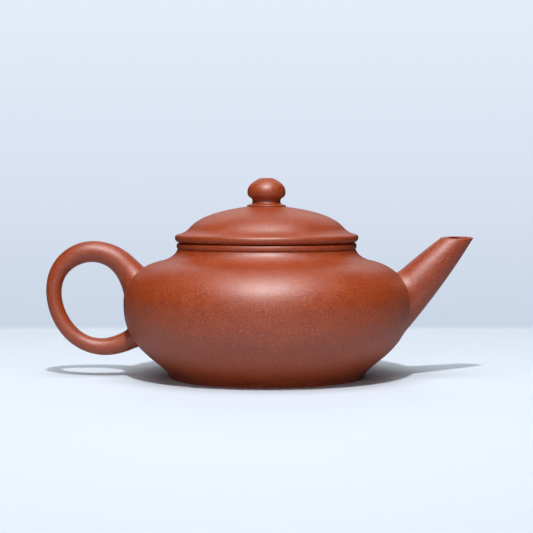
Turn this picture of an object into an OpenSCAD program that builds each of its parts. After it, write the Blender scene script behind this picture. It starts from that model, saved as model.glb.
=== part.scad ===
// Yixing clay teapot: a low round pot, a drop-in lid, a straight spout and an ear handle.
// Units are millimetres. The pot stands on z = 0 with its axis on Z; the spout points along +X.

/* [Pot body] */
// Radius of the belly at its widest line
belly_r = 45.8; // [44:0.1:49]
// Height of that widest line above the table
belly_h = 24.2; // [23:0.1:26]
// Thickness of the belly wall and the shoulder
wall = 3; // [2.4:0.1:3.6]
// Fullness of the belly below its widest line
belly_lower_hold = 0.43; // [0.38:0.01:0.5]
// Fullness of the belly above its widest line
belly_upper_hold = 0.38; // [0.32:0.01:0.44]

/* [Foot] */
// Outer radius of the foot ring
foot_r = 31.2; // [29:0.1:33]
// Width of the face that the foot ring stands on
foot_w = 3.6; // [2.5:0.1:5]
// Height of the upright lip of the foot ring
foot_lip = 0.5; // [0.3:0.1:1]
// How far the cove above the foot runs out to the belly
foot_cove_run = 2.9; // [2.4:0.1:3.8]
// Height where that cove turns into the belly
foot_cove_h = 3.9; // [3.6:0.1:4.8]
// Slope of the belly where it leaves the cove, in degrees
foot_cove_slope = 38.5; // [34:0.1:43]
// Depth of the hollow under the pot, inside the foot ring
foot_hollow = 2.2; // [1.2:0.1:2.5]
// Thickness of the floor
floor_t = 3.2; // [2.6:0.1:4]

/* [Neck and mouth] */
// Outer radius of the neck, where the mouth ring begins
neck_r = 28.6; // [27:0.1:30]
// Height of that place
neck_h = 40.9; // [39.5:0.1:43]
// How far the neck cove runs out to the shoulder
neck_cove_run = 5.2; // [4.6:0.1:6.4]
// How far the neck cove drops to the shoulder
neck_cove_drop = 3.6; // [3:0.1:4.2]
// Slope of the shoulder where it meets the cove, in degrees
shoulder_slope = 10.5; // [7:0.5:14]
// Height of the half-round ring at the mouth
ring_h = 2.05; // [1.6:0.05:2.6]
// How far that ring stands proud of the neck
ring_proud = 0.2; // [0.1:0.05:0.5]
// Thickness of the mouth, from the neck to the opening
mouth_t = 3.8; // [3:0.1:4.5]

/* [Spout] */
// Angle of the spout's axis above level, in degrees
spout_angle = 47; // [43:0.5:50]
// Height on the pot where the axis of the spout starts
spout_root_h = 27.3; // [25.5:0.1:29]
// How far the level tip stands above the mouth
spout_tip_rise = 2.05; // [0:0.05:4]
// Outer radius of the spout at the tip
spout_tip_r = 3.6; // [3.2:0.05:4.2]
// Outer radius of the spout at the pot
spout_root_r = 7.05; // [6.4:0.05:7.6]
// Swell of the spout between root and tip
spout_swell = 0.37; // [0.2:0.01:0.5]
// Wall of the spout at the tip
spout_tip_wall = 1.3; // [1:0.1:1.6]
// Wall of the spout at the pot
spout_root_wall = 1.9; // [1.5:0.1:2.4]
// Radius of each pour hole pierced through the pot wall
pour_hole_r = 1.1; // [0.8:0.05:1.3]
// Distance between neighbouring pour holes
pour_hole_pitch = 3.7; // [3.2:0.1:3.9]

/* [Handle] */
// How far the middle of the grip stands out from the belly
handle_reach = 22.3; // [20:0.1:25]
// Height of the grip's top line above the belly's widest line
handle_rise = 16; // [14.5:0.1:17]
// Depth of the grip's lower bend below the belly's widest line
handle_drop = 12.4; // [11.5:0.1:13.5]
// Half thickness of the handle at its upper root
handle_root_half = 4.9; // [4.4:0.1:5.4]
// Half thickness at the top of the grip
handle_top_half = 3.35; // [2.9:0.05:3.7]
// Half thickness at the side of the grip, its thinnest place
handle_side_half = 2.4; // [2.1:0.05:2.8]
// Half thickness at the lower bend
handle_low_half = 2.5; // [2.2:0.05:2.9]
// Half thickness at the lower root
handle_tail_half = 3.3; // [2.9:0.05:3.7]
// Width of the handle across, as a share of its thickness
handle_width = 1.1; // [0.95:0.05:1.25]
// How far out from the belly the grip is highest
handle_top_out = 10.1; // [9:0.1:12]
// Height of the side of the grip above the belly's widest line
handle_side_up = 0.6; // [0:0.1:3]
// How far out from the belly the lower bend lies
handle_low_out = 14.2; // [13:0.1:15.5]

/* [Lid] */
// Gap between the lid and the mouth ring, while the lid is on
lid_gap = 0.3; // [0.2:0.05:0.6]
// How far the lid's rim stands out past the neck
lid_overhang = 0.7; // [0.2:0.1:1.2]
// Height of the lid's rounded rim
rim_h = 2.35; // [2:0.05:2.8]
// How far the cove inside the rim runs in to the dome
lid_cove_run = 4.7; // [4:0.1:5.4]
// Height of the dome's foot above the underside of the rim
lid_cove_h = 4.6; // [4.2:0.1:5.2]
// Height of the seat's land above the underside of the rim
dome_h = 11.4; // [10.4:0.1:12.5]
// Thickness of the lid at its middle
lid_t = 3; // [2.4:0.1:3.6]
// Clearance between the lid's inner wall and the mouth
flange_gap = 0.35; // [0.2:0.05:0.6]
// Thickness of that inner wall
flange_t = 2.6; // [2:0.1:3.2]
// Depth of that inner wall below the rim
flange_depth = 5.5; // [4:0.1:7]

/* [Knob] */
// Radius of the low round seat under the knob
seat_r = 6.25; // [5.8:0.05:7]
// Height of the seat
seat_h = 1.4; // [1.1:0.05:1.8]
// Radius of the knob's neck
knob_neck_r = 4.5; // [4:0.05:4.8]
// Radius of the knob at its widest
knob_r = 6.1; // [5.6:0.1:6.6]
// Height of the knob's widest line above its seat
knob_wide_h = 3.3; // [3:0.1:3.8]
// Height of the whole knob above its seat
knob_h = 7.65; // [7:0.05:8.6]
// Radius of the small flat on top of the knob
knob_flat_r = 1.8; // [1.5:0.1:2.4]
// Radius of the air hole through knob, seat and lid
air_hole_r = 0.9; // [0.7:0.1:1.1]

/* [Hidden] */
$fn = 96;

clay = [0.62, 0.27, 0.14];
clay_light = [0.67, 0.31, 0.17];
clay_dark = [0.52, 0.21, 0.10];

// ---- curves ----

function dir(angle) = [cos(angle), sin(angle)];
function unit(v) = v / norm(v);

// A cubic curve from p to q; a and b are its directions of travel there, in degrees.
// The holds say how long each end keeps its direction, as a share of the chord.
function curve(p, a, q, b, hold_p, hold_q, steps) =
  let (chord = norm(q - p), p2 = p + chord * hold_p * dir(a), q2 = q - chord * hold_q * dir(b))
  [for (i = [0:steps])
    let (t = i / steps, s = 1 - t)
    s * s * s * p + 3 * s * s * t * p2 + 3 * s * t * t * q2 + t * t * t * q];

function tail(path) = [for (i = [1:len(path) - 1]) path[i]];
function part_of(path, first, last) = [for (i = [first:last]) path[i]];
function backwards(path) = [for (i = [len(path) - 1:-1:0]) path[i]];
function heading(path, i) = unit(path[min(i + 1, len(path) - 1)] - path[max(i - 1, 0)]);
// The path moved to its left by t.
function inset(path, t) =
  [for (i = [0:len(path) - 1]) let (d = heading(path, i)) path[i] + t * [-d[1], d[0]]];

// ---- outline of the pot, from the foot up to the neck ----

foot_start = [foot_r, foot_lip];
cove_end = [foot_r + foot_cove_run, foot_cove_h];
belly_side = [belly_r, belly_h];
shoulder_end = [neck_r + neck_cove_run, neck_h - neck_cove_drop];
neck_top = [neck_r, neck_h];

cove_steps = 6;
lower_steps = 14;
upper_steps = 14;
neck_steps = 10;

cove_line = curve(foot_start, 78, cove_end, foot_cove_slope, 0.15, 0.31, cove_steps);
lower_line =
  curve(cove_end, foot_cove_slope, belly_side, 90, belly_lower_hold, belly_lower_hold, lower_steps);
upper_line =
  curve(belly_side, 90, shoulder_end, 180 - shoulder_slope, belly_upper_hold, belly_upper_hold, upper_steps);
neck_line = curve(shoulder_end, 180 - shoulder_slope, neck_top, 90, 0.48, 0.16, neck_steps);
pot_line = concat(cove_line, tail(lower_line), tail(upper_line), tail(neck_line));
pot_inner = inset(pot_line, wall);

// Where one slab of clay meets the next, as places along the outline.
base_joint = cove_steps;
shoulder_joint = cove_steps + lower_steps + 8;
neck_joint = cove_steps + lower_steps + upper_steps;

foot_inner_r = foot_r - foot_w;
floor_h = foot_hollow + floor_t;
floor_corner = 5;
floor_flat_r = foot_inner_r - floor_corner;
mouth_r = neck_r - mouth_t;
mouth_h = neck_h + ring_h;
neck_inside_drop = 3.3;
neck_inside_h = neck_h - neck_inside_drop;
ring_foot_in = 0.2;
ring_top_in = 0.35;

// ---- spout and handle ----

// The handle's middle line starts and ends inside the pot wall, where the roots are cut to fit it.
head_root_in = 5.5;
head_root_down = 2;
tail_root_in = 7.2;
tail_root_down = 9.2;
head_slope = 85;
side_slope = -98;
low_slope = 211;
tail_slope = 147;

spout_tip_h = mouth_h + spout_tip_rise;
spout_length = (spout_tip_h - spout_root_h) / sin(spout_angle);
spout_tip_extra = 5;
spout_root_extra = 10;
spout_steps = 12;
pour_hole_drop = 2.2;
pour_hole_h = spout_root_h - pour_hole_drop;

// Radius of the spout at u millimetres from its root towards its tip.
function spout_r(u) =
  let (v = 1 - u / spout_length)
  spout_tip_r + (spout_root_r - spout_tip_r) * (v + spout_swell * v * (1 - v));
function spout_bore_r(u) =
  let (v = 1 - u / spout_length)
  spout_tip_r - spout_tip_wall + v * (spout_root_r - spout_root_wall - spout_tip_r + spout_tip_wall);

handle_ring_steps = 11;
handle_sides = 24;
handle_top = [belly_r + handle_top_out, belly_h + handle_rise];
handle_side = [belly_r + handle_reach, belly_h + handle_side_up];
handle_low = [belly_r + handle_low_out, belly_h - handle_drop];
handle_head_root = [belly_r - head_root_in, belly_h - head_root_down];
handle_tail_root = [belly_r - tail_root_in, belly_h - tail_root_down];

// The middle line of the handle, drawn outwards from the pot and back to it.
handle_line = concat(
  curve(handle_head_root, head_slope, handle_top, 0, 0.41, 0.4, handle_ring_steps),
  tail(curve(handle_top, 0, handle_side, side_slope, 0.29, 0.54, handle_ring_steps)),
  tail(curve(handle_side, side_slope, handle_low, low_slope, 0.41, 0.25, handle_ring_steps)),
  tail(curve(handle_low, low_slope, handle_tail_root, tail_slope, 0.39, 0.4, handle_ring_steps))
);
handle_halves = [
  handle_root_half, handle_top_half, handle_side_half, handle_low_half, handle_tail_half
];
function ease(t) = t * t * (3 - 2 * t);
function handle_half(i) =
  let (k = min(floor(i / handle_ring_steps), 3), t = i / handle_ring_steps - k)
  handle_halves[k] + ease(t) * (handle_halves[k + 1] - handle_halves[k]);
// One ring of the handle, as points on the -X side of the pot.
function handle_ring(i) =
  let (d = heading(handle_line, i), n = [-d[1], d[0]], h = handle_half(i))
  [for (j = [0:handle_sides - 1])
    let (a = 360 * j / handle_sides, p = handle_line[i] + h * cos(a) * n)
    [-p[0], h * handle_width * sin(a), p[1]]];

// ---- outline of the lid ----

flange_r = mouth_r - flange_gap;
flange_inner_r = flange_r - flange_t;
lid_h = mouth_h + lid_gap;
lid_r = neck_r + lid_overhang;
rim_under_in = 1;
rim_top_in = 1.35;
rim_top_slope = 160;
rim_under = [lid_r - rim_under_in, lid_h];
rim_side = [lid_r, lid_h + 0.6 * rim_h];
rim_top = [lid_r - rim_top_in, lid_h + rim_h];
dome_foot = [lid_r - lid_cove_run, lid_h + lid_cove_h];
seat_ledge = 0.3;
dome_land = [seat_r - seat_ledge, lid_h + dome_h];
lid_cove_steps = 8;
lid_joint = 3;

rim_line = concat(
  curve(rim_under, 45, rim_side, 90, 0.3, 0.35, 5),
  tail(curve(rim_side, 90, rim_top, rim_top_slope, 0.35, 0.3, 5))
);
lid_cove_line = curve(rim_top, rim_top_slope, dome_foot, 130, 0.37, 0.33, lid_cove_steps);
dome_line = curve(dome_foot, 130, dome_land, 171, 0.29, 0.34, 16);
lid_under = curve([flange_inner_r, lid_h], 90, [air_hole_r, lid_h + dome_h - lid_t], 180, 0.12, 0.55, 14);
lid_joint_r = lid_cove_line[lid_joint][0];

seat_base_h = lid_h + dome_h;
knob_base_h = seat_base_h + seat_h;
seat_edge = 0.15;
// The seat's crown ends in a small cove that rises to the knob's neck.
fillet_run = 0.55;
fillet_h = 0.6;
fillet_foot = [knob_neck_r + fillet_run, knob_base_h - fillet_h];
knob_neck_slope = 98;
seat_line = concat(
  [[seat_r, seat_base_h]],
  curve([seat_r, seat_base_h + seat_edge], 90, fillet_foot, 158, 0.2, 0.4, 6),
  tail(curve(fillet_foot, 158, [knob_neck_r, knob_base_h], knob_neck_slope, 0.4, 0.4, 4))
);
knob_neck = [knob_neck_r, knob_base_h];
knob_side = [knob_r, knob_base_h + knob_wide_h];
knob_top = [knob_flat_r, knob_base_h + knob_h];
knob_line = concat(
  curve(knob_neck, knob_neck_slope, knob_side, 90, 0.57, 0.71, 10),
  tail(curve(knob_side, 90, knob_top, 160, 0.45, 0.09, 10))
);

// ---- solids that the parts are cut with ----

module lathe(points) {
  rotate_extrude() polygon(points);
}

// Everything inside the pot's outer face, closed at the top and bottom.
module pot_outside() {
  lathe(concat([[0, foot_lip]], pot_line, [[0, neck_h]]));
}

// Turns a lathe solid so that it stands along the spout, with its zero at the spout's root.
module along_spout() {
  translate([belly_r, 0, spout_root_h]) rotate([0, 90 - spout_angle, 0]) children();
}

module pour_holes() {
  row_gap = pour_hole_pitch * sin(60);
  reach = wall + 7;
  for (row = [-1:1], k = [0:2 - abs(row)])
    translate([belly_r - reach, (k - (2 - abs(row)) / 2) * pour_hole_pitch, pour_hole_h + row * row_gap])
      rotate([0, 90, 0]) cylinder(r = pour_hole_r, h = reach + wall);
}

// ---- the pot ----

module base_disc() {
  color(clay_dark)
    lathe(concat(
      [[0, foot_hollow], [foot_inner_r, foot_hollow]],
      [cove_end],
      curve(pot_inner[base_joint], 180 + foot_cove_slope, [floor_flat_r, floor_h], 180, 0.12, 0.4, 6),
      [[0, floor_h]]
    ));
}

module foot_ring() {
  edge = foot_lip - 0.1;
  color(clay_dark)
    lathe(concat([[foot_inner_r, 0], [foot_r - edge, 0], [foot_r - 0.1, edge]], cove_line,
      [[foot_inner_r, foot_hollow]]));
}

module belly_wall() {
  color(clay)
    difference() {
      lathe(concat(
        part_of(pot_line, base_joint, shoulder_joint),
        backwards(part_of(pot_inner, base_joint, shoulder_joint))
      ));
      pour_holes();
    }
}

module shoulder_disc() {
  color(clay)
    lathe(concat(
      part_of(pot_line, shoulder_joint, neck_joint),
      backwards(part_of(pot_inner, shoulder_joint, neck_joint))
    ));
}

module neck_band() {
  color(clay_light)
    lathe(concat(
      neck_line,
      [[mouth_r, neck_h]],
      curve([mouth_r, neck_inside_h], -90, pot_inner[neck_joint], -shoulder_slope, 0.25, 0.4, 6)
    ));
}

module mouth_ring() {
  bead_mid = [neck_r + ring_proud, neck_h + ring_h / 2];
  color(clay_light)
    lathe(concat(
      [[mouth_r, neck_h]],
      curve([neck_r - ring_foot_in, neck_h], 30, bead_mid, 90, 0.4, 0.4, 4),
      tail(curve(bead_mid, 90, [neck_r - ring_top_in, mouth_h], 165, 0.4, 0.3, 5)),
      [[mouth_r, mouth_h]]
    ));
}

module spout() {
  first = -spout_root_extra;
  last = spout_length + spout_tip_extra;
  cut = 60;
  color(clay_light)
    difference() {
      along_spout()
        lathe(concat(
          [[spout_bore_r(first), first]],
          [for (i = [0:spout_steps]) let (u = first + (last - first) * i / spout_steps) [spout_r(u), u]],
          [[spout_bore_r(last), last]]
        ));
      pot_outside();
      translate([belly_r - cut / 2, -cut / 2, spout_tip_h]) cube(cut);
    }
}

module handle() {
  rings = len(handle_line);
  sides = handle_sides;
  points = [for (i = [0:rings - 1]) each handle_ring(i)];
  skin = [
    for (i = [0:rings - 2], j = [0:sides - 1])
      let (k = (j + 1) % sides, a = i * sides + j, b = i * sides + k, c = a + sides, d = b + sides)
      each [[a, b, d], [a, d, c]]
  ];
  head = [for (j = [sides - 1:-1:0]) j];
  end = [for (j = [0:sides - 1]) (rings - 1) * sides + j];
  color(clay)
    difference() {
      polyhedron(points = points, faces = concat([head], skin, [end]));
      pot_outside();
    }
}

// ---- the lid ----

module lid_dome() {
  color(clay)
    lathe(concat(
      part_of(lid_cove_line, lid_joint, lid_cove_steps),
      tail(dome_line),
      [[air_hole_r, seat_base_h]],
      backwards(lid_under),
      [[lid_joint_r, lid_h]]
    ));
}

module lid_rim() {
  color(clay_light)
    lathe(concat([[lid_joint_r, lid_h]], rim_line, tail(part_of(lid_cove_line, 0, lid_joint))));
}

module lid_flange() {
  bevel = 0.5;
  low = lid_h - flange_depth;
  color(clay_dark)
    lathe([
      [flange_inner_r, low], [flange_r - bevel, low], [flange_r, low + bevel], [flange_r, lid_h],
      [flange_inner_r, lid_h]
    ]);
}

module knob_seat() {
  color(clay_light)
    lathe(concat([[air_hole_r, seat_base_h]], seat_line, [[air_hole_r, knob_base_h]]));
}

module knob() {
  color(clay)
    lathe(concat([[air_hole_r, knob_base_h]], knob_line, [[air_hole_r, knob_base_h + knob_h]]));
}

base_disc();
foot_ring();
belly_wall();
shoulder_disc();
neck_band();
mouth_ring();
spout();
handle();
lid_dome();
lid_rim();
lid_flange();
knob_seat();
knob();
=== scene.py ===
import bpy
import math
import numpy as np
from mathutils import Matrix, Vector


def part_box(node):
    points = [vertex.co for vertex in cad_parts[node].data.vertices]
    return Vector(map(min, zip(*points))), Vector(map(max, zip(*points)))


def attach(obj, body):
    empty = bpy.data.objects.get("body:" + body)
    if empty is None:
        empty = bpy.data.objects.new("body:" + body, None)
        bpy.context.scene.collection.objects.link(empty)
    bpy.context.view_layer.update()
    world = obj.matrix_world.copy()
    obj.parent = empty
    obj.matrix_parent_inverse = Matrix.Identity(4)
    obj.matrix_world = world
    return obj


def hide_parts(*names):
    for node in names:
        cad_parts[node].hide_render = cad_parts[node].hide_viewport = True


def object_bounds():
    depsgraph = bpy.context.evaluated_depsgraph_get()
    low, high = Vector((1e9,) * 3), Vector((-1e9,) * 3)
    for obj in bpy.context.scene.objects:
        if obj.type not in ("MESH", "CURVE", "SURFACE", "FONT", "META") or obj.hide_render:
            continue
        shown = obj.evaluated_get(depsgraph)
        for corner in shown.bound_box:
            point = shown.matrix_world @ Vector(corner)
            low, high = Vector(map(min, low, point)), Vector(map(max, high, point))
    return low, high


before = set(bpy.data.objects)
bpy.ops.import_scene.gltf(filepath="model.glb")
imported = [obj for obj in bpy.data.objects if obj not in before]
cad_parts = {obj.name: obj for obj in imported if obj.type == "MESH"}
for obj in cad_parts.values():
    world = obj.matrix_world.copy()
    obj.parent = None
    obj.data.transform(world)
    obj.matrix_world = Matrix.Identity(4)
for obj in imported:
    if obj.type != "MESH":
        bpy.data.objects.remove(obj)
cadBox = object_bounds()
mm = 0.001    # outlines are drawn in millimetres, meshes are built in metres
quarterTurn = math.pi / 2
fullTurn = 2 * math.pi
outwards, up, inwards, down = 0, 90, 180, -90    # directions of travel along an outline, in degrees
onePlace = 1e-6          # places closer than this are the same one, in mm
creaseAngle = 38         # edges that turn by more than this stay crisp, in degrees
rootCreaseAngle = 50     # the same on spout and handle
luteDepth = 0.03         # how far spout and handle sink into the wall, in mm
skinDepth = 1.2          # a face that lies deeper than this under the outer one is an inner face, in mm


def heading(degrees):
    return np.array([math.cos(math.radians(degrees)), math.sin(math.radians(degrees))])


def line(start, end, step=0.8):
    start, end = np.array(start, float), np.array(end, float)
    count = max(1, int(math.ceil(np.linalg.norm(end - start) / step)))
    return start + (end - start) * np.linspace(0, 1, count + 1)[:, None]


def bend(start, leaves, end, arrives, holdStart, holdEnd, step=0.7):
    # leaves and arrives are the bend's directions of travel, the holds are shares of its chord
    start, end = np.array(start, float), np.array(end, float)
    chord = np.linalg.norm(end - start)
    p1 = start + chord * holdStart * heading(leaves)
    p2 = end - chord * holdEnd * heading(arrives)
    count = max(4, int(math.ceil(chord * 1.1 / step)))    # a bend is about a tenth longer than its chord
    t = np.linspace(0, 1, count + 1)[:, None]
    s = 1 - t
    return s**3 * start + 3 * s * s * t * p1 + 3 * s * t * t * p2 + t**3 * end


def join(*parts):
    outline = [np.asarray(parts[0], float)]
    for part in parts[1:]:
        part = np.asarray(part, float)
        meets = np.linalg.norm(part[0] - outline[-1][-1]) < onePlace
        outline.append(part[1:] if meets else part)
    return np.concatenate(outline)


def directions(path):
    ahead = np.gradient(path, axis=0)
    return ahead / np.linalg.norm(ahead, axis=1)[:, None]


def inset(path, depth):
    ahead = directions(path)
    return path + depth * np.stack([-ahead[:, 1], ahead[:, 0]], 1)


def fair(path, reach=1.2, step=0.5):
    # evens out the curvature where two bends meet; both ends stay
    walked = np.concatenate([[0], np.cumsum(np.linalg.norm(np.diff(path, axis=0), axis=1))])
    places = np.linspace(0, walked[-1], int(walked[-1] / step) + 1)
    even = np.stack([np.interp(places, walked, path[:, k]) for k in (0, 1)], 1)
    margin = 12    # steps that the path is drawn out by at each end
    first, last = even[1] - even[0], even[-1] - even[-2]
    before = even[0] + first * np.arange(-margin, 0)[:, None]
    after = even[-1] + last * np.arange(1, margin + 1)[:, None]
    padded = np.concatenate([before, even, after])
    offsets = np.arange(-margin, margin + 1) * step
    weights = np.exp(-0.5 * (offsets / reach) ** 2)
    weights /= weights.sum()
    smooth = np.stack([np.convolve(padded[:, k], weights, "valid") for k in (0, 1)], 1)
    smooth[0], smooth[-1] = even[0], even[-1]
    return smooth


handTouch = {
    "depth": 0.045,        # how far the surface wanders from true, in mm
    "shortest": 14.0,      # shortest and longest waves, in mm
    "longest": 34.0,
    "waves": 7,
    "seed": 11,
    "fade": 4.0,           # it dies out over this much towards the outermost places, in mm
}


def makeHandTouch(look):
    draw = np.random.default_rng(look["seed"])
    waves = []
    for _ in range(look["waves"]):
        way = draw.normal(size=3)
        way /= np.linalg.norm(way)
        length = draw.uniform(look["shortest"], look["longest"])
        waves.append((way * fullTurn / length, draw.uniform(0, fullTurn, 3)))

    low, high = (np.array(corner) / mm for corner in cadBox)

    def move(points):
        # points in mm; the outermost places and the foot's resting face stay true
        shift = np.zeros_like(points)
        for way, phase in waves:
            shift += np.sin((points @ way)[:, None] + phase)
        shift *= look["depth"] / math.sqrt(look["waves"])
        free = np.clip(np.minimum(points - low, high - points).min(1) / look["fade"], 0, 1)
        return points + shift * free[:, None]

    return move


touched = makeHandTouch(handTouch)


def finishMesh(name, points, faces, materials, paint=None, sharp=creaseAngle):
    mesh = bpy.data.meshes.new(name)
    mesh.from_pydata((touched(np.asarray(points, float)) * mm).tolist(), [], faces)
    mesh.validate()
    for material in materials:
        mesh.materials.append(material)
    if paint is not None:
        mesh.polygons.foreach_set("material_index", np.asarray(paint, np.int32))
    mesh.polygons.foreach_set("use_smooth", np.ones(len(mesh.polygons), bool))
    mesh.set_sharp_from_angle(angle=math.radians(sharp))
    piece = bpy.data.objects.new(name, mesh)
    bpy.context.scene.collection.objects.link(piece)
    return piece


def wrapFaces(rows, columns, closeRows):
    # columns always close into rings
    faces = []
    for i in range(rows if closeRows else rows - 1):
        k = (i + 1) % rows
        for j in range(columns):
            n = (j + 1) % columns
            faces.append((i * columns + j, i * columns + n, k * columns + n, k * columns + j))
    return faces


def lathe(name, outline, materials, inside=None, around=256):
    # outline runs anticlockwise in (radius, height), in mm
    # one that starts and ends on the axis gets a centre point at each end
    # inside(a, b) tells whether the face between two of its places gets the second material
    outline = np.asarray(outline, float)
    solid = outline[0, 0] < onePlace and outline[-1, 0] < onePlace
    rows = outline[1:-1] if solid else outline
    if not solid and np.linalg.norm(rows[0] - rows[-1]) < onePlace:
        rows = rows[:-1]
    turn = np.arange(around) * fullTurn / around
    points = np.stack([
        rows[:, 0, None] * np.cos(turn), rows[:, 0, None] * np.sin(turn),
        np.repeat(rows[:, 1, None], around, 1)], -1).reshape(-1, 3)
    faces = wrapFaces(len(rows), around, not solid)

    def finish(a, b):
        return 0 if inside is None else int(inside(rows[a], rows[b]))

    paint = [finish(face[0] // around, face[2] // around) for face in faces]
    if solid:
        low, high = len(points), len(points) + 1
        points = np.concatenate([points, [[0, 0, outline[0, 1]], [0, 0, outline[-1, 1]]]])
        top = (len(rows) - 1) * around
        for j in range(around):
            n = (j + 1) % around
            faces.append((low, n, j))
            faces.append((high, top + j, top + n))
            paint += [finish(0, 0), finish(-1, -1)]
    return finishMesh(name, points, faces, materials, paint)


def settle(piece, body, node):
    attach(piece, body)
    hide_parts(node)


def feed(tree, socket, value):
    # plain numbers and colours are set on the socket, a node's output is linked to it
    if isinstance(value, (int, float)):
        socket.default_value = value
    elif isinstance(value, tuple):
        socket.default_value = (*value, 1)
    else:
        tree.links.new(value, socket)


def calculate(tree, kind, *values):
    node = tree.nodes.new("ShaderNodeMath")
    node.operation = kind
    for socket, value in zip(node.inputs, values):
        feed(tree, socket, value)
    return node.outputs["Value"]


def spread(tree, value, fromLow, fromHigh, toLow=0.0, toHigh=1.0, soft=False):
    node = tree.nodes.new("ShaderNodeMapRange")
    if soft:
        node.interpolation_type = "SMOOTHSTEP"
    ends = {"From Min": fromLow, "From Max": fromHigh, "To Min": toLow, "To Max": toHigh}
    for name, end in ends.items():
        feed(tree, node.inputs[name], end)
    tree.links.new(value, node.inputs["Value"])
    return node.outputs["Result"]


def blendColour(tree, factor, first, second, kind="MIX"):
    node = tree.nodes.new("ShaderNodeMix")
    node.data_type = "RGBA"
    node.blend_type = kind
    feed(tree, node.inputs["Factor"], factor)
    feed(tree, node.inputs[6], first)
    feed(tree, node.inputs[7], second)
    return node.outputs[2]


def toneRamp(tree, value, colours, places, ease=False):
    # three colours at three places from 0 to 1
    node = tree.nodes.new("ShaderNodeValToRGB")
    node.color_ramp.interpolation = "EASE" if ease else "LINEAR"
    stops = node.color_ramp.elements
    stops[0].position, stops[0].color = places[0], (*colours[0], 1)
    stops[1].position, stops[1].color = places[2], (*colours[2], 1)
    stops.new(places[1]).color = (*colours[1], 1)
    tree.links.new(value, node.inputs["Fac"])
    return node.outputs["Color"]


burnishedClay = {
    "deep": (0.180, 0.017, 0.0002),         # the clay between its grains
    "middle": (0.305, 0.034, 0.0004),
    "pale": (0.455, 0.086, 0.008),          # its sandy grains
    "tonePlaces": (0.18, 0.5, 0.86),        # where the three lie from dark to light
    "grain": 0.30,                          # size of the grain, the clouds and the drift, in mm
    "cloud": 4.5,
    "drift": 26.0,
    "grainShare": 1.9,                      # how much each moves the tone
    "cloudShare": 0.16,
    "driftShare": 0.14,
    "fleckSize": 1.25,                      # mineral flecks: one may lie in each cell of this size
    "fleckShare": 0.035,                    # share of the cells that hold a pale one, and a dark one
    "fleckEdge": (0.09, 0.16),              # full up to the first, gone at the second
    "paleFleck": (0.75, 0.42, 0.25),
    "paleFleckStrength": 0.55,
    "darkFleck": (0.11, 0.020, 0.008),
    "darkFleckStrength": 0.6,
    "rough": (0.40, 0.52),
    "roughPlaces": (0.35, 0.65),            # most of the noise lies between these
    "shine": 1.0,
    "grainDepth": 0.06,                     # relief in mm
    "cloudDepth": 0.03,
    "markDepth": 0.012,                     # faint rings left by the scraper
    "markStretch": (0.022, 0.022, 1.3),     # they run round the pot, not up it
}
plainClay = dict(
    burnishedClay,
    deep=(0.150, 0.015, 0.0002), middle=(0.250, 0.030, 0.0004), pale=(0.380, 0.072, 0.007),
    rough=(0.62, 0.74), shine=0.3, grainDepth=0.03, cloudDepth=0.09, markDepth=0.05, fleckShare=0.05,
)


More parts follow.
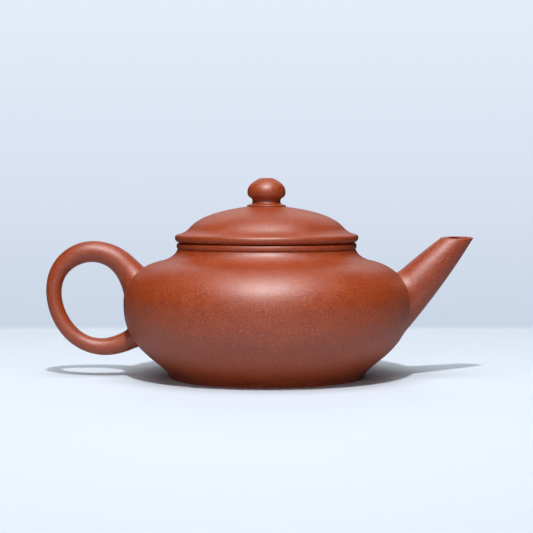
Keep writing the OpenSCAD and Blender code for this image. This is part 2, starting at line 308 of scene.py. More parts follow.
def clay(name, look):
    material = bpy.data.materials.new(name)
    material.use_nodes = True
    tree = material.node_tree
    nodes, links = tree.nodes, tree.links
    shader = nodes["Principled BSDF"]
    place = nodes.new("ShaderNodeTexCoord").outputs["Object"]

    def noise(size, detail, rough=0.55, stretch=None):
        texture = nodes.new("ShaderNodeTexNoise")
        texture.inputs["Scale"].default_value = 1 / (size * mm)
        texture.inputs["Detail"].default_value = detail
        texture.inputs["Roughness"].default_value = rough
        source = place
        if stretch:
            mapping = nodes.new("ShaderNodeMapping")
            mapping.inputs["Scale"].default_value = stretch
            links.new(place, mapping.inputs["Vector"])
            source = mapping.outputs["Vector"]
        links.new(source, texture.inputs["Vector"])
        return texture.outputs["Fac"]

    grain = noise(look["grain"], detail=2.0, rough=0.6)
    cloud = noise(look["cloud"], detail=4.0)
    drift = noise(look["drift"], detail=2.0)
    marks = noise(1.0, detail=3.0, rough=0.6, stretch=look["markStretch"])

    # sandy grain, soft clouds and slow drift of tone, added round the middle colour
    swings = []
    for pattern, share in ((grain, "grainShare"), (cloud, "cloudShare"), (drift, "driftShare")):
        centred = calculate(tree, "SUBTRACT", pattern, 0.5)
        swings.append(calculate(tree, "MULTIPLY", centred, look[share]))
    tone = swings[0]
    for part in (swings[1], swings[2], 0.5):
        tone = calculate(tree, "ADD", tone, part)
    colours = [look[k] for k in ("deep", "middle", "pale")]
    colour = toneRamp(tree, tone, colours, look["tonePlaces"], ease=True)

    # a few mineral flecks: each cell draws a number, and the highest ones hold a fleck
    cells = nodes.new("ShaderNodeTexVoronoi")
    cells.inputs["Scale"].default_value = 1 / (look["fleckSize"] * mm)
    links.new(place, cells.inputs["Vector"])
    lottery = nodes.new("ShaderNodeSeparateColor")
    links.new(cells.outputs["Color"], lottery.inputs["Color"])
    nearCentre = spread(tree, cells.outputs["Distance"], *look["fleckEdge"], 1.0, 0.0)
    for kind, channel in (("paleFleck", "Red"), ("darkFleck", "Green")):
        drawn = calculate(tree, "GREATER_THAN", lottery.outputs[channel], 1 - look["fleckShare"])
        fleck = calculate(tree, "MULTIPLY", nearCentre, drawn)
        strength = calculate(tree, "MULTIPLY", fleck, look[kind + "Strength"])
        colour = blendColour(tree, strength, colour, look[kind])
    links.new(colour, shader.inputs["Base Color"])

    halves = [calculate(tree, "MULTIPLY", pattern, 0.5) for pattern in (grain, cloud)]
    roughTone = calculate(tree, "ADD", *halves)
    links.new(spread(tree, roughTone, *look["roughPlaces"], *look["rough"]), shader.inputs["Roughness"])
    shader.inputs["Specular IOR Level"].default_value = look["shine"]
    shader.inputs["IOR"].default_value = 1.5

    normal = None
    for height, depth in ((marks, "markDepth"), (cloud, "cloudDepth"), (grain, "grainDepth")):
        bump = nodes.new("ShaderNodeBump")
        bump.inputs["Strength"].default_value = 1.0
        bump.inputs["Distance"].default_value = look[depth] * mm
        links.new(height, bump.inputs["Height"])
        if normal is not None:
            links.new(normal, bump.inputs["Normal"])
        normal = bump.outputs["Normal"]
    links.new(normal, shader.inputs["Normal"])
    return material


outer = clay("burnishedClay", burnishedClay)
inner = clay("plainClay", plainClay)
print("clay: two finishes mixed")


potShape = {
    "bellyR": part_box("belly_wall")[1].y / mm,
    "bellyH": 24.2,
    "wall": 3.0,
    "footR": 31.2,
    "footW": 3.6,
    "footLip": 0.5,
    "footSlope": 78,
    "footEdgeSlope": 84,
    "footBevel": 0.35,            # rounding of the foot's inner edge
    "coveEnd": (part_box("foot_ring")[1].y / mm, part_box("foot_ring")[1].z / mm),
    "coveSlope": 38.5,
    "footHollow": 2.2,
    "footHollowRise": 0.3,        # the base rises this much more to its middle
    "floorT": 3.2,
    "floorFlatIn": 5.0,           # the floor is level from this far inside the foot
    "neckR": 28.6,
    "neckH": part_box("neck_band")[1].z / mm,
    "shoulderEnd": (33.8, 37.3),
    "shoulderSlope": 10.5,
    "mouthT": 3.8,
    "mouthH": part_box("mouth_ring")[1].z / mm,
    "neckInsideDrop": 3.3,
    "shoulderJointH": 33.75,
    "footHolds": (0.15, 0.31),
    "lowerBellyHolds": (0.43, 0.43),
    "upperBellyHolds": (0.38, 0.38),
    "neckHolds": (0.48, 0.16),
}
footInnerR = potShape["footR"] - potShape["footW"]
mouthR = potShape["neckR"] - potShape["mouthT"]
bellySide = (potShape["bellyR"], potShape["bellyH"])
neckTop = (potShape["neckR"], potShape["neckH"])


def drawPotLine(shape, step=0.3):
    # the pot's face from the foot up to the neck
    foot = (shape["footR"], shape["footLip"])
    coveEnd, coveSlope = shape["coveEnd"], shape["coveSlope"]
    shoulderEnd, shoulderSlope = shape["shoulderEnd"], inwards - shape["shoulderSlope"]
    return fair(join(
        bend(foot, shape["footSlope"], coveEnd, coveSlope, *shape["footHolds"], step),
        bend(coveEnd, coveSlope, bellySide, up, *shape["lowerBellyHolds"], step),
        bend(bellySide, up, shoulderEnd, shoulderSlope, *shape["upperBellyHolds"], step),
        bend(shoulderEnd, shoulderSlope, neckTop, up, *shape["neckHolds"], step),
    ), reach=0.5)


potLine = drawPotLine(potShape)
potInner = inset(potLine, potShape["wall"])


def rowAt(height):
    return int(np.argmin(np.abs(potLine[:, 1] - height)))


baseRow = rowAt(potShape["coveEnd"][1])
shoulderRow = rowAt(potShape["shoulderJointH"])
neckRow = rowAt(potShape["shoulderEnd"][1])


def potRadius(height):
    return np.interp(height, potLine[:, 1], potLine[:, 0])


def outsidePot(points):
    # how far points in mm lie outside the pot's face, level with them
    return np.hypot(points[..., 0], points[..., 1]) - potRadius(points[..., 2])


def seatOnWall(ring, depth):
    # draws a ring of points in or out, level with where they are, to this depth in the wall
    reach = potRadius(ring[:, 2]) - depth
    ring[:, :2] *= (reach / np.hypot(ring[:, 0], ring[:, 1]))[:, None]
    return ring


def insideWall(a, b):
    middle = (a + b) / 2
    return potRadius(middle[1]) - middle[0] > skinDepth


def makeBaseDisc():
    low = potShape["footHollow"]
    underEdge, underMiddle = (footInnerR, low), (0, low + potShape["footHollowRise"])
    floorH = low + potShape["floorT"]
    floorEdge = (footInnerR - potShape["floorFlatIn"], floorH)
    outline = join(
        bend(underMiddle, outwards, underEdge, -1, 0.4, 0.4, 1.0),
        line(underEdge, potLine[baseRow]),
        line(potLine[baseRow], potInner[baseRow]),
        bend(potInner[baseRow], inwards + potShape["coveSlope"], floorEdge, inwards, 0.12, 0.4),
        line(floorEdge, (0, floorH), 1.0),
    )
    return lathe("baseDisc", outline, [inner])


def makeFootRing():
    bevel = potShape["footBevel"]
    innerTop, innerSide = (footInnerR, potShape["footHollow"]), (footInnerR, bevel)
    innerFoot = (footInnerR + bevel, 0)
    outerFoot = (potShape["footR"] - (potShape["footLip"] - 0.1), 0)
    outline = join(
        line(innerTop, innerSide, 0.5),
        bend(innerSide, down, innerFoot, outwards, 0.5, 0.5, 0.1),
        line(innerFoot, outerFoot, 0.6),
        bend(outerFoot, outwards, potLine[0], potShape["footEdgeSlope"], 0.5, 0.4, 0.1),
        potLine[:baseRow + 1],
        line(potLine[baseRow], innerTop),
    )
    return lathe("footRing", outline, [outer])


def makeWallSlab(name, first, last):
    outline = join(
        potLine[first:last + 1],
        line(potLine[last], potInner[last]),
        potInner[first:last + 1][::-1],
        line(potInner[first], potLine[first]),
    )
    return lathe(name, outline, [outer, inner], insideWall)


def applyModifiers(piece):
    bpy.context.view_layer.update()
    view = bpy.context.evaluated_depsgraph_get()
    mesh = bpy.data.meshes.new_from_object(piece.evaluated_get(view))
    piece.modifiers.clear()
    piece.data = mesh


pourHoles = {
    "radius": 1.1,
    "pitch": 3.7,          # one in the middle, six round it
    "height": 25.1,
    "overshoot": 3.0,      # the cut starts this far outside the belly's widest line
    "reach": 14.0,
    "sides": 32,
}


def pierce(wall):
    # pour holes through the wall behind the spout
    sides = pourHoles["sides"]
    turn = np.arange(sides) * fullTurn / sides
    rowGap = pourHoles["pitch"] * math.sin(math.radians(60))
    start = potShape["bellyR"] + pourHoles["overshoot"] - pourHoles["reach"]
    rings, faces = [], []
    for row in (-1, 0, 1):
        count = 3 - abs(row)
        for k in range(count):
            y = (k - (count - 1) / 2) * pourHoles["pitch"]
            z = pourHoles["height"] + row * rowGap
            ring = np.stack([np.zeros(sides), y + pourHoles["radius"] * np.cos(turn),
                             z + pourHoles["radius"] * np.sin(turn)], 1)
            low = len(rings) * sides
            high = low + sides
            rings += [ring + (start, 0, 0), ring + (start + pourHoles["reach"], 0, 0)]
            faces += [tuple(range(low, high))[::-1], tuple(range(high, high + sides))]
            for j in range(sides):
                n = (j + 1) % sides
                faces.append((low + j, low + n, high + n, high + j))
    mesh = bpy.data.meshes.new("pourHoleCutter")
    mesh.from_pydata((np.concatenate(rings) * mm).tolist(), [], faces)
    cutter = bpy.data.objects.new("pourHoleCutter", mesh)
    bpy.context.scene.collection.objects.link(cutter)
    cut = wall.modifiers.new("pourHoles", "BOOLEAN")
    cut.operation = "DIFFERENCE"
    cut.solver = "EXACT"
    cut.object = cutter
    applyModifiers(wall)
    bpy.data.objects.remove(cutter)
    wall.data.set_sharp_from_angle(angle=math.radians(creaseAngle))


def makeNeckBand():
    top = (mouthR, potShape["neckH"])
    low = (mouthR, potShape["neckH"] - potShape["neckInsideDrop"])
    outline = join(
        potLine[neckRow:],
        line(neckTop, top),
        line(top, low, 0.6),
        bend(low, down, potInner[neckRow], -potShape["shoulderSlope"], 0.25, 0.4, 0.6),
        line(potInner[neckRow], potLine[neckRow]),
    )
    return lathe("neckBand", outline, [outer, inner], insideWall)


mouthRingShape = {
    "proud": 0.2,
    "footIn": 0.38,     # the ring tucks in here, which draws the fine line under it
    "footSlope": 40,
    "topIn": 0.35,
    "topSlope": 170,
    "edge": 0.3,
}


def makeMouthRing():
    shape = mouthRingShape
    low, high = potShape["neckH"], potShape["mouthH"]
    foot = (potShape["neckR"] - shape["footIn"], low)
    widest = (potShape["neckR"] + shape["proud"], (low + high) / 2)
    top = (potShape["neckR"] - shape["topIn"], high)
    edgeTop, edgeSide = (mouthR + shape["edge"], high), (mouthR, high - shape["edge"])
    outline = join(
        line((mouthR, low), foot),
        bend(foot, shape["footSlope"], widest, up, 0.45, 0.4, 0.12),
        bend(widest, up, top, shape["topSlope"], 0.5, 0.35, 0.12),
        line(top, edgeTop),
        bend(edgeTop, inwards, edgeSide, down, 0.5, 0.5, 0.1),
        line(edgeSide, (mouthR, low), 0.6),
    )
    return lathe("mouthRing", outline, [outer])


spoutShape = {
    "angle": 47.0,
    "rootH": 27.3,
    "tipH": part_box("spout")[1].z / mm,
    "tipR": 3.6,
    "rootR": 7.05,
    "swell": 0.37,
    "tipWall": 1.3,
    "rootWall": 1.9,
    "flare": 0.4,          # the luted root spreads by this much on its upper side
    "flareEven": 0.75,     # 1 spreads it as much all round, 0.5 not at all below
    "flareLength": 2.6,
    "lip": 0.34,           # rounding of the tip
    "tipTilt": 0.10,       # the cut at the tip falls a little towards -Y
    "around": 160,
    "along": 90,
    "crowding": 1.15,      # above 1, the rows lie closer together at the root
}


def makeSpout():
    shape = spoutShape
    run, rise = heading(shape["angle"])
    axis = np.array([run, 0, rise])
    upper = np.array([-axis[2], 0, axis[0]])
    across = np.array([0.0, 1.0, 0.0])
    origin = np.array([potShape["bellyR"], 0, shape["rootH"]])
    length = (shape["tipH"] - shape["rootH"]) / axis[2]
    turn = np.arange(shape["around"]) * fullTurn / shape["around"]
    outward = np.cos(turn)[:, None] * upper + np.sin(turn)[:, None] * across
    flare = shape["flare"] * (shape["flareEven"] + (1 - shape["flareEven"]) * np.cos(turn))

    def outerR(u):
        v = 1 - u / length
        return shape["tipR"] + (shape["rootR"] - shape["tipR"]) * (v + shape["swell"] * v * (1 - v))

    def boreR(u):
        tip = shape["tipR"] - shape["tipWall"]
        return tip + (1 - u / length) * (shape["rootR"] - shape["rootWall"] - tip)

    def at(u, radius):
        return origin + u[:, None] * axis + radius[:, None] * outward

    def solve(test, low, high):
        # finds where on each strand the test turns positive
        low, high = np.full(len(turn), float(low)), np.full(len(turn), float(high))
        for _ in range(40):
            middle = (low + high) / 2
            past = test(middle) > 0
            high = np.where(past, middle, high)
            low = np.where(past, low, middle)
        return (low + high) / 2

    rootOut = solve(lambda u: outsidePot(at(u, outerR(u) + flare)) + luteDepth, -12, length)
    rootIn = solve(lambda u: outsidePot(at(u, boreR(u))) + luteDepth, -10, length)

    def pastTip(points):
        return points[:, 2] - shape["tipH"] + shape["tipTilt"] * (shape["tipR"] - points[:, 1])

    tipOut = solve(lambda u: pastTip(at(u, outerR(u))), 0, length + 8)
    tipIn = solve(lambda u: pastTip(at(u, boreR(u))), 0, length + 8)

    rows = []
    topOut, topIn = at(tipOut, outerR(tipOut)), at(tipIn, boreR(tipIn))
    toIn = topIn - topOut
    toIn /= np.linalg.norm(toIn, axis=1)[:, None]
    outStop, inStop = tipOut - shape["lip"], tipIn - shape["lip"]
    for s in np.linspace(0, 1, shape["along"]) ** shape["crowding"]:
        u = rootOut + (outStop - rootOut) * s
        root = np.clip(1 - (u - rootOut) / shape["flareLength"], 0, 1)
        rows.append(at(u, outerR(u) + flare * root**2))
    outEdge, inEdge = rows[-1], at(inStop, boreR(inStop))
    lipOut, lipIn = topOut + shape["lip"] * toIn, topIn - shape["lip"] * toIn
    for t in (0.25, 0.5, 0.75, 1.0):
        rows.append((1 - t) ** 2 * outEdge + 2 * t * (1 - t) * topOut + t * t * lipOut)
    rows.append((lipOut + lipIn) / 2)
    for t in (0.0, 0.25, 0.5, 0.75):
        rows.append((1 - t) ** 2 * lipIn + 2 * t * (1 - t) * topIn + t * t * inEdge)
    boreStart = len(rows)
    for s in np.linspace(0, 1, shape["along"] // 2):
        u = inStop + (rootIn - inStop) * s
        rows.append(at(u, boreR(u)))
    boreEnd = len(rows) - 1
    ringOut, ringIn = rows[0], rows[-1]
    for s in (0.25, 0.5, 0.75):
        rows.append(seatOnWall(ringIn + (ringOut - ringIn) * s, luteDepth))
    points = np.concatenate(rows)
    faces = wrapFaces(len(rows), shape["around"], True)
    paint = [int(boreStart <= face[0] // shape["around"] < boreEnd) for face in faces]
    return finishMesh("spoutTube", points, faces, [outer, inner], paint, rootCreaseAngle)


handleShape = {
    "headRoot": (-5.5, -2.0),     # places from the belly's widest line, outwards and up
    "top": (10.1, 16.0),
    "side": (22.25, 0.6),
    "low": (14.2, -12.4),
    "tailRoot": (-7.2, -9.2),
    "slopes": (85, 0, -98, 211, 147),
    "holds": ((0.41, 0.40), (0.29, 0.54), (0.41, 0.25), (0.39, 0.40)),
    "halves": (4.9, 3.35, 2.4, 2.5, 3.3),
    "start": (3.2, 4.2),          # the line runs on inside the wall from this far in and below
    "startSlope": 50,
    "startHalf": 3.0,
    "width": 1.1,
    "flare": (0.55, 0.35),        # spread of the luted roots, upper and lower
    "flareLength": (4.0, 2.2),
    "capDepth": 0.3,              # the roots' end caps lie this deep in the wall
    "around": 96,
    "along": 240,
}


def makeHandle():
    shape = handleShape
    spots = [np.array(bellySide) + shape[k] for k in ("headRoot", "top", "side", "low", "tailRoot")]
    slopes, step = shape["slopes"], 0.15
    # the line starts inside the wall, thinner, so that every strand starts within it
    parts = [bend(spots[0] - shape["start"], shape["startSlope"], spots[0], slopes[0], 0.3, 0.3, step)]
    for k, holds in enumerate(shape["holds"]):
        parts.append(bend(spots[k], slopes[k], spots[k + 1], slopes[k + 1], *holds, step))
    middle = join(*parts)
    lengths = [np.sum(np.linalg.norm(np.diff(part, axis=0), axis=1)) for part in parts]
    knots = np.concatenate([[0], np.cumsum(lengths)])
    walked = np.concatenate([[0], np.cumsum(np.linalg.norm(np.diff(middle, axis=0), axis=1))])
    places = np.linspace(0, walked[-1], 900)
    middle = np.stack([np.interp(places, walked, middle[:, k]) for k in (0, 1)], 1)
    middle = fair(middle, reach=0.7, step=step)
    places = np.linspace(0, walked[-1], len(middle))
    ahead = directions(middle)
    side = np.stack([-ahead[:, 1], ahead[:, 0]], 1)
    halves = (shape["startHalf"],) + shape["halves"]
    half = np.zeros(len(places))
    for k in range(len(parts)):
        t = np.clip((places - knots[k]) / (knots[k + 1] - knots[k]), 0, 1)
        here = (places >= knots[k]) if k else np.ones(len(places), bool)
        half = np.where(here, halves[k] + (halves[k + 1] - halves[k]) * t * t * (3 - 2 * t), half)
    evened = 40    # places to each side that the thickness is evened out over
    window = np.hanning(2 * evened + 3)
    half = np.convolve(np.pad(half, evened, mode="edge"), window[1:-1] / window.sum(), "valid")

    turn = np.arange(shape["around"]) * fullTurn / shape["around"]

    def strandPoint(place, j, grow=0.0):
        centre = np.stack([np.interp(place, places, middle[:, k]) for k in (0, 1)], -1)
        away = np.stack([np.interp(place, places, side[:, k]) for k in (0, 1)], -1)
        away /= np.linalg.norm(away, axis=-1)[..., None]
        reach = np.interp(place, places, half) + grow
        flat = centre + (reach * np.cos(turn[j]))[..., None] * away
        return np.stack([-flat[..., 0], reach * shape["width"] * np.sin(turn[j]), flat[..., 1]], -1)

    strands = []
    for j in range(shape["around"]):
        clear = outsidePot(strandPoint(places, j, shape["flare"][0])) + luteDepth
        first = int(np.argmax(clear > 0))
        start = np.interp(0, [clear[first - 1], clear[first]], [places[first - 1], places[first]])
        clear = outsidePot(strandPoint(places, j, shape["flare"][1])) + luteDepth
        last = len(clear) - 1 - int(np.argmax(clear[::-1] > 0))
        stop = np.interp(0, [clear[last + 1], clear[last]], [places[last + 1], places[last]])
        strand = start + (stop - start) * np.linspace(0, 1, shape["along"])
        head = np.clip(1 - (strand - start) / shape["flareLength"][0], 0, 1) ** 2 * shape["flare"][0]
        tail = np.clip(1 - (stop - strand) / shape["flareLength"][1], 0, 1) ** 2 * shape["flare"][1]
        strands.append(strandPoint(strand, j, head + tail))
    grid = np.stack(strands, 1)
    points = grid.reshape(-1, 3)
    faces = wrapFaces(shape["along"], shape["around"], False)
    # the roots are closed by shallow caps that follow the wall inside the joint
    for row, turnBack in ((0, True), (shape["along"] - 1, False)):
        ring = grid[row]
        previous = row * shape["around"]
        for shrink in (0.66, 0.33):
            centre = ring.mean(0)
            band = seatOnWall(centre + (ring - centre) * shrink, shape["capDepth"])
            start = len(points)
            points = np.concatenate([points, band])
            for j in range(shape["around"]):
                n = (j + 1) % shape["around"]
                quad = (previous + j, previous + n, start + n, start + j)
                faces.append(quad[::-1] if turnBack else quad)
            previous = start
        cap = [previous + j for j in range(shape["around"])]
        faces.append(tuple(cap[::-1] if turnBack else cap))
    return finishMesh("earHandle", points, faces, [outer], None, rootCreaseAngle)


lidShape = {
    "under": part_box("lid_rim")[0].z / mm,
    "rimR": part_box("lid_rim")[1].y / mm,
    "rimH": 2.42,
    "rimWideH": 1.41,      # height of the bead's widest line
    "rimUnderIn": 0.95,
    "rimUnderSlope": 30,
    "rimTopIn": 0.8,
    "rimTopSlope": 169,
    "rimHolds": ((0.4, 0.45), (0.42, 0.36)),
    "coveRun": 4.7,
    "coveH": 4.6,
    "coveSlope": 130,
    "coveHolds": (0.37, 0.33),
    "domeH": 11.4,
    "domeSlope": 171,
    "domeHolds": (0.29, 0.34),
    "domeLandIn": 0.3,     # the dome's flat top starts this far in under the seat
    "thickness": 3.0,
    "flangeGap": 0.35,
    "flangeT": 2.6,
    "flangeDepth": 5.5,
    "flangeBevel": 0.55,
    "flangeInnerBevel": 0.25,
    "jointR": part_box("lid_dome")[1].y / mm,
    "seatR": 6.25,
    "seatH": 1.4,
    "seatEdge": (0.12, 0.2),
    "filletRun": 0.55,     # the small cove between seat and neck
    "filletH": 0.6,
    "filletSlope": 158,
    "neckR": 4.5,
    "neckSlope": 98,
    "knobR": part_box("knob")[1].y / mm,
    "knobWideH": 3.3,
    "knobH": 7.65,
    "knobTopSlope": 160,
    "knobHolds": ((0.57, 0.71), (0.45, 0.09)),
    "flatR": 1.9,
    "holeR": 0.9,
    "holeTopEdge": 0.3,
    "holeLowEdge": (0.35, 0.3),
}
lidH = lidShape["under"]
flangeR = mouthR - lidShape["flangeGap"]
flangeInnerR = flangeR - lidShape["flangeT"]
rimTop = (lidShape["rimR"] - lidShape["rimTopIn"], lidH + lidShape["rimH"])
domeFoot = (lidShape["rimR"] - lidShape["coveRun"], lidH + lidShape["coveH"])
seatH = lidH + lidShape["domeH"]
knobH = seatH + lidShape["seatH"]
domeLand = (lidShape["seatR"] - lidShape["domeLandIn"], seatH)
coveAndDome = fair(join(
    bend(rimTop, lidShape["rimTopSlope"], domeFoot, lidShape["coveSlope"], *lidShape["coveHolds"], 0.2),
    bend(domeFoot, lidShape["coveSlope"], domeLand, lidShape["domeSlope"], *lidShape["domeHolds"], 0.3),
), reach=0.4, step=0.2)
lidJointRow = int(np.argmin(np.abs(coveAndDome[:, 0] - lidShape["jointR"])))
lidJoint = coveAndDome[lidJointRow]     # between rim and dome, on the lid's upper face
lidJointFoot = (lidJoint[0], lidH)


def makeLidRim():
    shape = lidShape
    under = (shape["rimR"] - shape["rimUnderIn"], lidH)
    widest = (shape["rimR"], lidH + shape["rimWideH"])
    lowerHolds, upperHolds = shape["rimHolds"]
    outline = join(
        line(lidJointFoot, under, 0.5),
        bend(under, shape["rimUnderSlope"], widest, up, *lowerHolds, 0.12),
        bend(widest, up, rimTop, shape["rimTopSlope"], *upperHolds, 0.1),
        coveAndDome[:lidJointRow + 1],
        line(lidJoint, lidJointFoot, 0.6),
    )
    return lathe("lidRim", outline, [outer])


def makeLidDome():
    shape = lidShape
    holeR, (edgeRun, edgeH) = shape["holeR"], shape["holeLowEdge"]
    ceiling = seatH - shape["thickness"]
    flangeJoint = (flangeInnerR, lidH)
    holeSide, holeEdge = (holeR, ceiling + edgeH), (holeR + edgeRun, ceiling)
    outline = join(
        coveAndDome[lidJointRow:],
        line(domeLand, (holeR, seatH)),
        line((holeR, seatH), holeSide, 0.6),
        bend(holeSide, down, holeEdge, outwards, 0.5, 0.5, 0.1),
        bend(flangeJoint, up, holeEdge, inwards, 0.12, 0.55, 0.6)[::-1],
        line(flangeJoint, lidJointFoot),
        line(lidJointFoot, lidJoint, 0.6),
    )

    def insideLid(a, b):
        middle = (a + b) / 2
        face = np.interp(-middle[0], -coveAndDome[:, 0], coveAndDome[:, 1])
        return face - middle[1] > skinDepth

    return lathe("lidDome", outline, [outer, inner], insideLid)


def makeLidFlange():
    bevel, innerBevel = lidShape["flangeBevel"], lidShape["flangeInnerBevel"]
    low = lidH - lidShape["flangeDepth"]
    outerFoot, outerSide = (flangeR - bevel, low), (flangeR, low + bevel)
    innerFoot, innerSide = (flangeInnerR + innerBevel, low), (flangeInnerR, low + innerBevel)
    outline = join(
        line(innerFoot, outerFoot, 0.5),
        bend(outerFoot, outwards, outerSide, up, 0.4, 0.4, 0.1),
        line(outerSide, (flangeR, lidH), 0.6),
        line((flangeR, lidH), (flangeInnerR, lidH), 0.6),
        line((flangeInnerR, lidH), innerSide, 0.6),
        bend(innerSide, down, innerFoot, outwards, 0.5, 0.5, 0.1),
    )
    return lathe("lidFlange", outline, [inner])


def makeKnobSeat():
    shape = lidShape
    edgeIn, edgeH = shape["seatEdge"]
    edgeLow, edge = (shape["seatR"] - edgeIn, seatH), (shape["seatR"], seatH + edgeH)
    fillet = (shape["neckR"] + shape["filletRun"], knobH - shape["filletH"])
    neck = (shape["neckR"], knobH)
    holeLow, holeHigh = (shape["holeR"], seatH), (shape["holeR"], knobH)
    outline = join(
        line(holeLow, edgeLow, 0.6),
        bend(edgeLow, 30, edge, up, 0.4, 0.4, 0.06),
        bend(edge, up, fillet, shape["filletSlope"], 0.2, 0.4, 0.12),
        bend(fillet, shape["filletSlope"], neck, shape["neckSlope"], 0.4, 0.4, 0.08),
        line(neck, holeHigh, 0.6),
        line(holeHigh, holeLow, 0.4),
    )
    return lathe("knobSeat", outline, [outer], around=160)


def makeKnob():
    shape = lidShape
    neck, hole = (shape["neckR"], knobH), (shape["holeR"], knobH)
    widest = (shape["knobR"], knobH + shape["knobWideH"])
    topH, edge = knobH + shape["knobH"], shape["holeTopEdge"]
    top = (shape["flatR"], topH)
    holeEdge, holeSide = (shape["holeR"] + edge, topH), (shape["holeR"], topH - edge)
    lowerHolds, upperHolds = shape["knobHolds"]
    outline = join(
        line(hole, neck, 0.5),
        fair(join(
            bend(neck, shape["neckSlope"], widest, up, *lowerHolds, 0.15),
            bend(widest, up, top, shape["knobTopSlope"], *upperHolds, 0.15),
        ), reach=0.15, step=0.15),
        line(top, holeEdge, 0.2),
        bend(holeEdge, inwards, holeSide, down, 0.5, 0.5, 0.08),
        line(holeSide, hole, 0.5),
    )
    return lathe("knob", outline, [outer], around=160)


settle(makeBaseDisc(), "pot", "base_disc")
settle(makeFootRing(), "pot", "foot_ring")
bellyWall = makeWallSlab("bellyWall", baseRow, shoulderRow)
pierce(bellyWall)
settle(bellyWall, "pot", "belly_wall")
settle(makeWallSlab("shoulderDisc", shoulderRow, neckRow), "pot", "shoulder_disc")
settle(makeNeckBand(), "pot", "neck_band")
settle(makeMouthRing(), "pot", "mouth_ring")
print("pot: base, foot, wall, shoulder, neck and mouth ring thrown")
settle(makeSpout(), "pot", "spout")
settle(makeHandle(), "pot", "handle")
print("spout and handle luted on")
settle(makeLidDome(), "lid", "lid_dome")
settle(makeLidRim(), "lid", "lid_rim")
settle(makeLidFlange(), "lid", "lid_flange")
settle(makeKnobSeat(), "lid", "knob_seat")
settle(makeKnob(), "lid", "knob")
print("lid: dome, rim, inner wall, seat and knob made")


table = {
    "front": -380.0,                   # its edges, in mm from the pot
    "backEdge": 180.0,
    "edgeBlur": 14.0,
    "halfWidth": 440.0,
    "sideBlur": 200.0,                 # it runs out softly over this much at each side
    "near": (0.520, 0.558, 0.612),     # its tone in front, about the pot and behind it: painted shade, darkest in front where the lamps light it most, palest behind
    "middle": (0.700, 0.760, 0.835),
    "far": (0.830, 0.895, 0.990),
    "paintedShadeFrom": -240.0,                # where the near tone ends and the far one begins; the painted shade runs between them
    "paintedShadeTo": 180.0,
    "rough": 0.6,
    "gloss": 0.25,
    "shine": 0.45,                     # share of its tone that glossy surfaces mirror, under the pot
    "shineAside": 0.10,                # and far out to the sides
    "shineFrom": 60.0,                 # where one share turns into the other
    "shineTo": 240.0,
}


def makeTable():
    x, front = table["halfWidth"] * mm, table["front"] * mm
    back = (table["backEdge"] + table["edgeBlur"]) * mm
    mesh = bpy.data.meshes.new("table")
    mesh.from_pydata([(-x, front, 0), (x, front, 0), (x, back, 0), (-x, back, 0)], [], [(0, 1, 2, 3)])
    material = bpy.data.materials.new("tableTop")
    material.use_nodes = True
    tree = material.node_tree
    nodes, links = tree.nodes, tree.links
    shader = nodes["Principled BSDF"]
    shader.inputs["Roughness"].default_value = table["rough"]
    shader.inputs["Specular IOR Level"].default_value = table["gloss"]
    place = nodes.new("ShaderNodeTexCoord")
    split = nodes.new("ShaderNodeSeparateXYZ")
    links.new(place.outputs["Object"], split.inputs["Vector"])
    # painted shade: the table's colour darkens towards the front, where the lamps light it most
    # strongly, so that it looks evenly lit
    depth = spread(tree, split.outputs["Y"], table["paintedShadeFrom"] * mm, table["paintedShadeTo"] * mm)
    aside = calculate(tree, "ABSOLUTE", split.outputs["X"])
    colours = [table[k] for k in ("near", "middle", "far")]
    tone = toneRamp(tree, depth, colours, (0.0, 0.5, 1.0))

    # what the clay mirrors of the table is dimmer than what the camera sees of it
    glossy = nodes.new("ShaderNodeLightPath").outputs["Is Glossy Ray"]
    mirrored = spread(tree, aside, table["shineFrom"] * mm, table["shineTo"] * mm,
                      table["shine"], table["shineAside"])
    share = spread(tree, glossy, 0.0, 1.0, 1.0, mirrored)
    links.new(blendColour(tree, 1.0, tone, share, "MULTIPLY"), shader.inputs["Base Color"])

    # its back and its sides fade out
    backFrom = (table["backEdge"] - table["edgeBlur"]) * mm
    sideFrom = (table["halfWidth"] - table["sideBlur"]) * mm
    backFade = spread(tree, split.outputs["Y"], backFrom, back, soft=True)
    sideFade = spread(tree, aside, sideFrom, x, soft=True)
    clear = nodes.new("ShaderNodeBsdfTransparent")
    mix = nodes.new("ShaderNodeMixShader")
    links.new(calculate(tree, "MAXIMUM", backFade, sideFade), mix.inputs["Fac"])
    links.new(shader.outputs["BSDF"], mix.inputs[1])
    links.new(clear.outputs["BSDF"], mix.inputs[2])
    links.new(mix.outputs["Shader"], nodes["Material Output"].inputs["Surface"])
    mesh.materials.append(material)
    top = bpy.data.objects.new("table", mesh)
    bpy.context.scene.collection.objects.link(top)


room = {
    "low": (0.584, 0.665, 0.783),      # backdrop just above the table
    "middle": (0.686, 0.753, 0.871),
    "high": (0.776, 0.847, 0.947),
    "lowAt": -0.09,                    # sine of the angle above level at which low ends
    "highAt": 0.125,                   # and high begins
    "middleAt": 0.42,                  # share of the way between them
    "fill": (0.62, 0.74, 0.95),        # soft light from all round
    "fillStrength": 0.02,
}


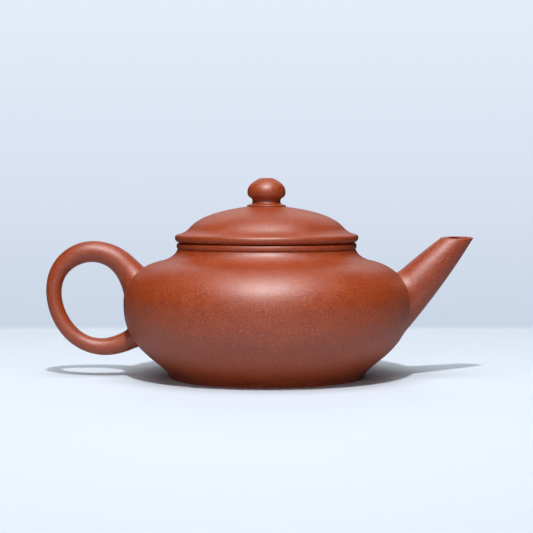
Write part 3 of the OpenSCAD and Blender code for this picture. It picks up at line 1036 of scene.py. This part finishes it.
def makeRoom():
    world = bpy.data.worlds.new("room")
    bpy.context.scene.world = world
    world.use_nodes = True
    tree = world.node_tree
    nodes, links = tree.nodes, tree.links
    fill = nodes["Background"]
    fill.inputs["Color"].default_value = (*room["fill"], 1)
    fill.inputs["Strength"].default_value = room["fillStrength"]
    way = nodes.new("ShaderNodeTexCoord")
    split = nodes.new("ShaderNodeSeparateXYZ")
    links.new(way.outputs["Generated"], split.inputs["Vector"])
    height = spread(tree, split.outputs["Z"], room["lowAt"], room["highAt"])
    colours = [room[k] for k in ("low", "middle", "high")]
    tone = toneRamp(tree, height, colours, (0.0, room["middleAt"], 1.0))
    backdrop = nodes.new("ShaderNodeBackground")
    backdrop.inputs["Strength"].default_value = 1.0
    links.new(tone, backdrop.inputs["Color"])
    # glossy rays meet the dim fill instead, which keeps the clay's sides deep in colour
    rays = nodes.new("ShaderNodeLightPath")
    seen = calculate(tree, "MAXIMUM", rays.outputs["Is Camera Ray"], rays.outputs["Is Transmission Ray"])
    mix = nodes.new("ShaderNodeMixShader")
    links.new(seen, mix.inputs["Fac"])
    links.new(fill.outputs["Background"], mix.inputs[1])
    links.new(backdrop.outputs["Background"], mix.inputs[2])
    links.new(mix.outputs["Shader"], nodes["World Output"].inputs["Surface"])


# places and sizes in mm, powers in watts
daylight = (0.96, 0.98, 1.0)
lamps = {
    "spot": {"at": (-14, -372, 540), "size": (30, 30), "power": 3.2, "colour": daylight},
    "overhead": {"at": (-20, -390, 920), "size": (800, 400), "power": 3.0, "colour": daylight},
    "above": {"at": (0, -40, 860), "size": (500, 300), "power": 2.0, "colour": daylight},
    "front": {"at": (-30, -700, 300), "size": (460, 300), "power": 1.0, "colour": daylight},
    "behind": {"at": (0, 600, 440), "size": (700, 300), "power": 0.9, "colour": (0.93, 0.97, 1.0)},
}
lampAim = (0, 0, 25.0)    # they all face the middle of the belly


def makeLamp(name, look):
    light = bpy.data.lights.new(name, "AREA")
    light.shape = "ELLIPSE" if name == "spot" else "RECTANGLE"
    light.size, light.size_y = look["size"][0] * mm, look["size"][1] * mm
    light.energy = look["power"]
    light.color = look["colour"]
    lamp = bpy.data.objects.new(name, light)
    lamp.location = [v * mm for v in look["at"]]
    aim = np.array(lampAim) - np.array(look["at"])
    tip = math.acos(-aim[2] / np.linalg.norm(aim))
    lamp.rotation_euler = (tip, 0, math.atan2(aim[1], aim[0]) - quarterTurn)
    bpy.context.scene.collection.objects.link(lamp)


view = {
    "distance": 496.0,    # in mm from the pot's axis
    "height": 58.9,
    "side": -0.04,
    "tilt": 2.715,        # degrees below level
    "width": 19.52,       # angle of view in degrees
}


def makeCamera():
    lens = bpy.data.cameras.new("camera")
    lens.sensor_fit = "HORIZONTAL"
    lens.angle = math.radians(view["width"])
    lens.clip_start = 0.01
    camera = bpy.data.objects.new("camera", lens)
    camera.location = (view["side"] * mm, -view["distance"] * mm, view["height"] * mm)
    camera.rotation_euler = (math.radians(90 - view["tilt"]), 0, 0)
    bpy.context.scene.collection.objects.link(camera)
    bpy.context.scene.camera = camera


makeTable()
makeRoom()
for lampName, lampLook in lamps.items():
    makeLamp(lampName, lampLook)
makeCamera()
bpy.context.scene.view_settings.view_transform = "Standard"
print("table, room, lamps and camera set")
